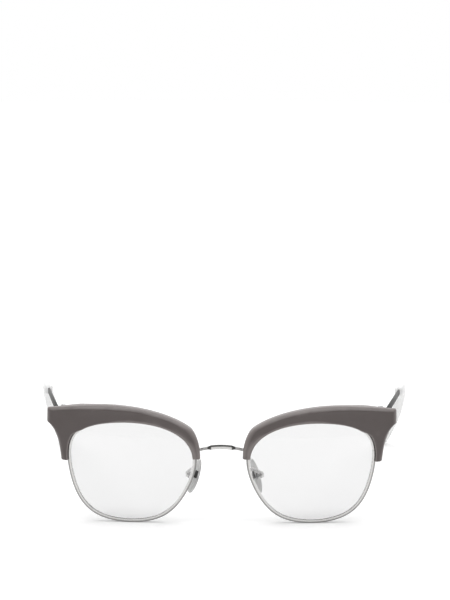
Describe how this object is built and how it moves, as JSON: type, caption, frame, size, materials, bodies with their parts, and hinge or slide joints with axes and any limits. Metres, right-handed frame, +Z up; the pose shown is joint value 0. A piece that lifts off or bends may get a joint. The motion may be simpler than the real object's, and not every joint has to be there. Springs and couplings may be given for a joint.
{
  "type": "browline spectacles",
  "caption": "Browline spectacles: dark acetate brow bars over grooved metal eyewires with clear lenses, a wire bridge, rocking nose pads and folding temples with curved tips.",
  "frame": {"origin": "middle of the footprint, on the table the open frame stands on", "axes": "+Z up, +X to the wearer's left along the front, +Y from the front towards the temple tips"},
  "size_m": [0.1574, 0.1418, 0.0466],
  "materials": {
    "brow_acetate": "satin warm dark grey acetate",
    "tip_acetate": "polished off-white acetate",
    "rim_metal": "bright silver plating",
    "temple_metal": "dark satin steel strip",
    "hinge_metal": "satin",
    "screw_steel": "turned",
    "pad_silicone": "satin translucent silicone",
    "lens_clear": "clear coated lens"
  },
  "bodies": {
    "front": {"bridge": "rim_metal", "eyewire_left": "rim_metal", "rim_lock_screw_left": "screw_steel", "lens_left": "lens_clear", "brow_left": "brow_acetate", "brow_screw_1_left": "screw_steel", "brow_screw_2_left": "screw_steel", "hinge_leaf_left": "hinge_metal", "hinge_plate_screw_1_left": "screw_steel", "hinge_plate_screw_2_left": "screw_steel", "hinge_screw_left": "screw_steel", "pad_box_left": "rim_metal", "pad_screw_left": "screw_steel", "pad_arm_left": "rim_metal", "eyewire_right": "rim_metal", "rim_lock_screw_right": "screw_steel", "lens_right": "lens_clear", "brow_right": "brow_acetate", "brow_screw_1_right": "screw_steel", "brow_screw_2_right": "screw_steel", "hinge_leaf_right": "hinge_metal", "hinge_plate_screw_1_right": "screw_steel", "hinge_plate_screw_2_right": "screw_steel", "hinge_screw_right": "screw_steel", "pad_box_right": "rim_metal", "pad_screw_right": "screw_steel", "pad_arm_right": "rim_metal"},
    "temple_left_body": {"temple_left": "temple_metal", "temple_tip_left": "tip_acetate"},
    "temple_right_body": {"temple_right": "temple_metal", "temple_tip_right": "tip_acetate"},
    "pad_left_body": {"nose_pad_left": "pad_silicone"},
    "pad_right_body": {"nose_pad_right": "pad_silicone"}
  },
  "joints": [
    {"name": "left_temple_fold", "type": "hinge", "parent": "front", "child": "temple_left_body", "pos_m": [0.06286, -0.058, 0.0421], "axis": [0, 0, 1], "range_deg": [0, 94]},
    {"name": "right_temple_fold", "type": "hinge", "parent": "front", "child": "temple_right_body", "pos_m": [-0.06286, -0.058, 0.0421], "axis": [0, 0, -1], "range_deg": [0, 85]},
    {"name": "left_pad_rock", "type": "hinge", "parent": "front", "child": "pad_left_body", "pos_m": [0.01512, -0.0617, 0.01782], "axis": [0.4226, 0.9063, 0], "range_deg": [-8, 8]},
    {"name": "right_pad_rock", "type": "hinge", "parent": "front", "child": "pad_right_body", "pos_m": [-0.01252, -0.0617, 0.01782], "axis": [-0.4226, 0.9063, 0], "range_deg": [-8, 8]}
  ]
}
